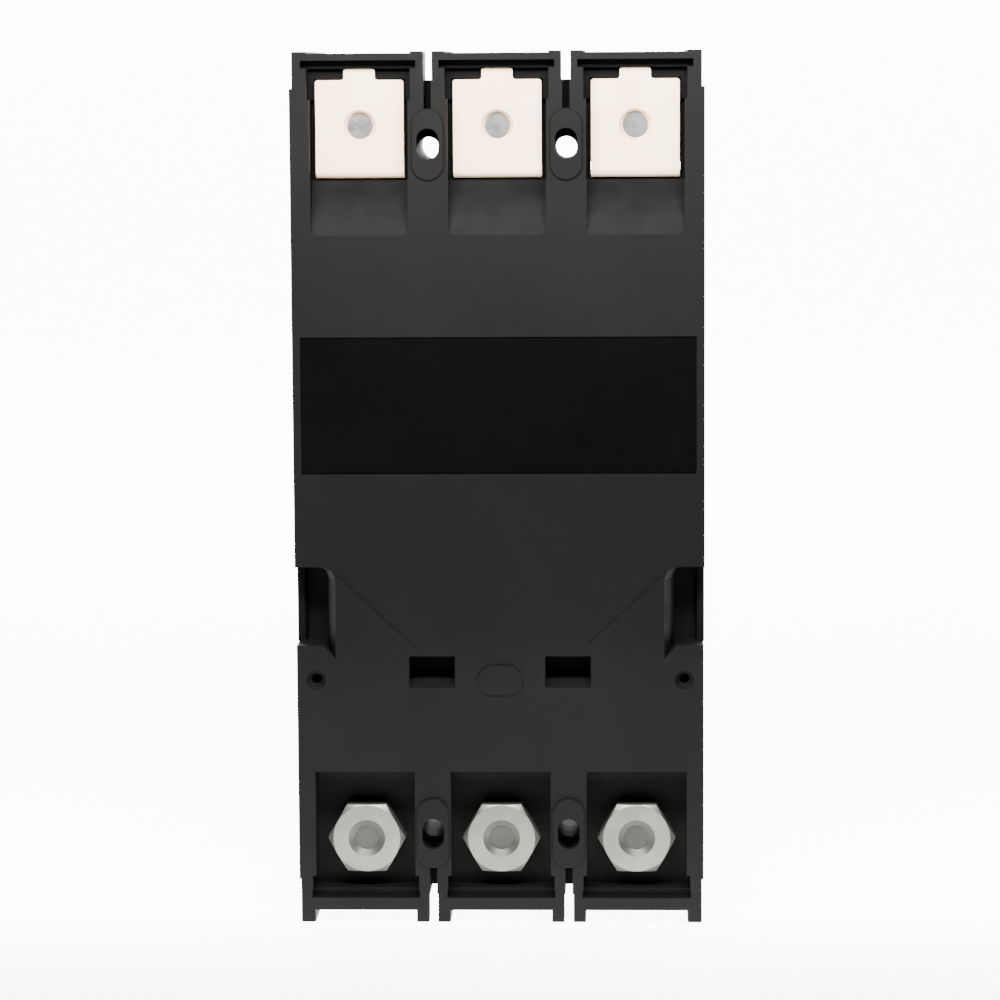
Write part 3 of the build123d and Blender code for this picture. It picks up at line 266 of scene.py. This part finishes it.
# the polish lines of rolled metal run along its height, so their noise is stretched that way
ROLLED = (1, 1, 0.2)
ROLLED_LONG = (1, 1, 0.15)
MATERIALS = {
    # the case's recess value sets how dark the painted shade in its line recesses is
    "case_black": moulded("case_black", (0.0036, 0.0036, 0.0035), (0.0043, 0.0043, 0.0042), 0.6,
                          specular=0.045, painted_recess_darkness=0.25),
    "cover_black": moulded("cover_black", (0.0034, 0.0034, 0.0034), (0.0041, 0.0041, 0.0041), 0.5,
                           specular=0.06),
    "handle_black": moulded("handle_black", (0.0035, 0.0035, 0.0035), (0.0044, 0.0044, 0.0044), 0.38,
                            specular=0.1),
    "plate_black": moulded("plate_black", (0.0009, 0.0009, 0.0008), (0.0012, 0.0012, 0.0011), 0.8,
                           specular=0.01),
    "rating_grey": moulded("rating_grey", (0.15, 0.15, 0.147), (0.17, 0.17, 0.166), 0.42),
    "tin_plate": plated("tin_plate", (0.74, 0.53, 0.34), (0.80, 0.60, 0.41), 0.6,
                        metallic=0.0, stretch=ROLLED),
    "nickel_steel": machined("nickel_steel", (0.115, 0.115, 0.105), (0.150, 0.150, 0.137), 0.36),
    "zinc_steel": plated("zinc_steel", (0.115, 0.118, 0.114), (0.145, 0.148, 0.144), 0.38, 0.8),
    "plain_steel": plated("plain_steel", (0.030, 0.030, 0.027), (0.042, 0.042, 0.038), 0.45, 0.7),
    "dark_steel": plated("dark_steel", (0.10, 0.10, 0.105), (0.16, 0.16, 0.165), 0.42),
    "spring_steel": plated("spring_steel", (0.36, 0.36, 0.37), (0.46, 0.46, 0.47), 0.3),
    "copper": plated("copper", (0.66, 0.30, 0.17), (0.78, 0.42, 0.26), 0.36,
                     stretch=ROLLED_LONG),
    "silver_tip": plated("silver_tip", (0.70, 0.69, 0.66), (0.80, 0.79, 0.76), 0.45),
    "arc_fibre": moulded("arc_fibre", (0.30, 0.10, 0.06), (0.38, 0.14, 0.09), 0.75),
    "moulded_brown": moulded("moulded_brown", (0.085, 0.035, 0.02), (0.11, 0.047, 0.028), 0.5),
    "face_grey": moulded("face_grey", (0.060, 0.060, 0.061), (0.070, 0.070, 0.071), 0.5),
    "knob_grey": moulded("knob_grey", (0.12, 0.12, 0.123), (0.14, 0.14, 0.143), 0.4),
    "button_red": moulded("button_red", (0.26, 0.004, 0.003), (0.32, 0.006, 0.004), 0.3),
}
for part in frame["record"]["subparts"]:
    mesh = NODES[part["node"]].data
    mesh.materials.clear()
    mesh.materials.append(MATERIALS[part["material_slot"]])


# ---------------------------------------------------------------- the trip button's spring
def button_spring():
    """A copy of the return spring under the trip button, attached to the case in place of the
    imported one.
    """
    coil = bpy.data.objects.new("button_return_spring", NODES["trip_button_spring"].data.copy())
    SCENE.collection.objects.link(coil)
    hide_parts("trip_button_spring")
    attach(coil, "case")
    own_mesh(coil)


button_spring()

# ---------------------------------------------------------------- floor
FLOOR_GAP = 0.0005
FLOOR_NEAR, WALL_AT, SWEEP_HALF_WIDTH, WALL_HEIGHT = 0.9, -1.5, 1.6, 1.9
BEND_RADIUS, BEND_STEPS = 0.45, 12
# the paper glows from the object on, and fades towards the camera
GLOW_FAR, GLOW_NEAR, GLOW_FADE = 10.0, 0.2, (-0.02, 0.16)


def sweep_paper():
    s = Shader("studio_paper")
    fibre = s.noise(900.0, 3.0)
    s.drive(s.mottle(fibre, (0.86, 0.86, 0.86), (0.9, 0.9, 0.9)), "Base Color")
    s.fix(Roughness=0.9, Specular_IOR_Level=0.05, Emission_Color=(1, 1, 1, 1))
    s.drive(s.ramp(s.axes()["Y"], GLOW_FAR, GLOW_NEAR, at=GLOW_FADE), "Emission Strength")
    s.bump([(fibre, 0.1, 0.00005)])
    return s.material


def studio_sweep():
    """A pale floor that curves up into a back wall behind the object's front."""
    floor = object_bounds()[0][2] - FLOOR_GAP
    bend_start = WALL_AT + BEND_RADIUS
    profile = [(FLOOR_NEAR, 0.0), (bend_start, 0.0)]
    for step in range(1, BEND_STEPS + 1):
        turn = radians(90 * step / BEND_STEPS)
        profile.append((bend_start - BEND_RADIUS * sin(turn), BEND_RADIUS * (1 - cos(turn))))
    profile.append((WALL_AT, WALL_HEIGHT))
    verts = [(x, y, floor + z) for y, z in profile for x in (-SWEEP_HALF_WIDTH, SWEEP_HALF_WIDTH)]
    faces = [(2 * i, 2 * i + 1, 2 * i + 3, 2 * i + 2) for i in range(len(profile) - 1)]
    mesh = bpy.data.meshes.new("studio_sweep")
    mesh.from_pydata(verts, [], faces)
    for polygon in mesh.polygons:
        polygon.use_smooth = True
    mesh.materials.append(sweep_paper())
    sweep = bpy.data.objects.new("studio_sweep", mesh)
    SCENE.collection.objects.link(sweep)
    sweep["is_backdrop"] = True


studio_sweep()

# ---------------------------------------------------------------- light
LAMP_COLOUR = (1.0, 0.99, 0.98)
LAMP_WIDTH = 0.36
WORLD_STRENGTH = 0.06


def area_light(name, place, aim, size_y, power):
    data = bpy.data.lights.new(name, "AREA")
    data.shape = "RECTANGLE"
    data.size = LAMP_WIDTH
    data.size_y = size_y
    data.energy = power
    data.color = LAMP_COLOUR
    light = bpy.data.objects.new(name, data)
    light.location = place
    light.rotation_euler = (Vector(aim) - Vector(place)).to_track_quat("-Z", "Y").to_euler()
    SCENE.collection.objects.link(light)


world = bpy.data.worlds.new("studio")
SCENE.world = world
world.use_nodes = True
backdrop = world.node_tree.nodes["Background"].inputs
backdrop["Color"].default_value = (1, 1, 1, 1)
backdrop["Strength"].default_value = WORLD_STRENGTH
area_light("key_above", place=(0, 0.235, 0.24), aim=(0, 0, 0.145), size_y=0.08, power=9.2)
area_light("fill_below", place=(0, 0.24, -0.245), aim=(0, 0, -0.15), size_y=0.12, power=6.2)

# ---------------------------------------------------------------- camera
CAMERA_PLACE = (-0.0362, 1.0152, 0.1162)
CAMERA_TURN = (83.360, 0.353, -178.018)  # degrees
LENS, SENSOR = 132.6, 36.0  # mm

camera_data = bpy.data.cameras.new("camera")
camera_data.lens = LENS
camera_data.sensor_width = SENSOR
camera_data.clip_end = 20
camera = bpy.data.objects.new("camera", camera_data)
camera.location = CAMERA_PLACE
camera.rotation_euler = Euler([radians(angle) for angle in CAMERA_TURN], "XYZ")
SCENE.collection.objects.link(camera)
SCENE.camera = camera
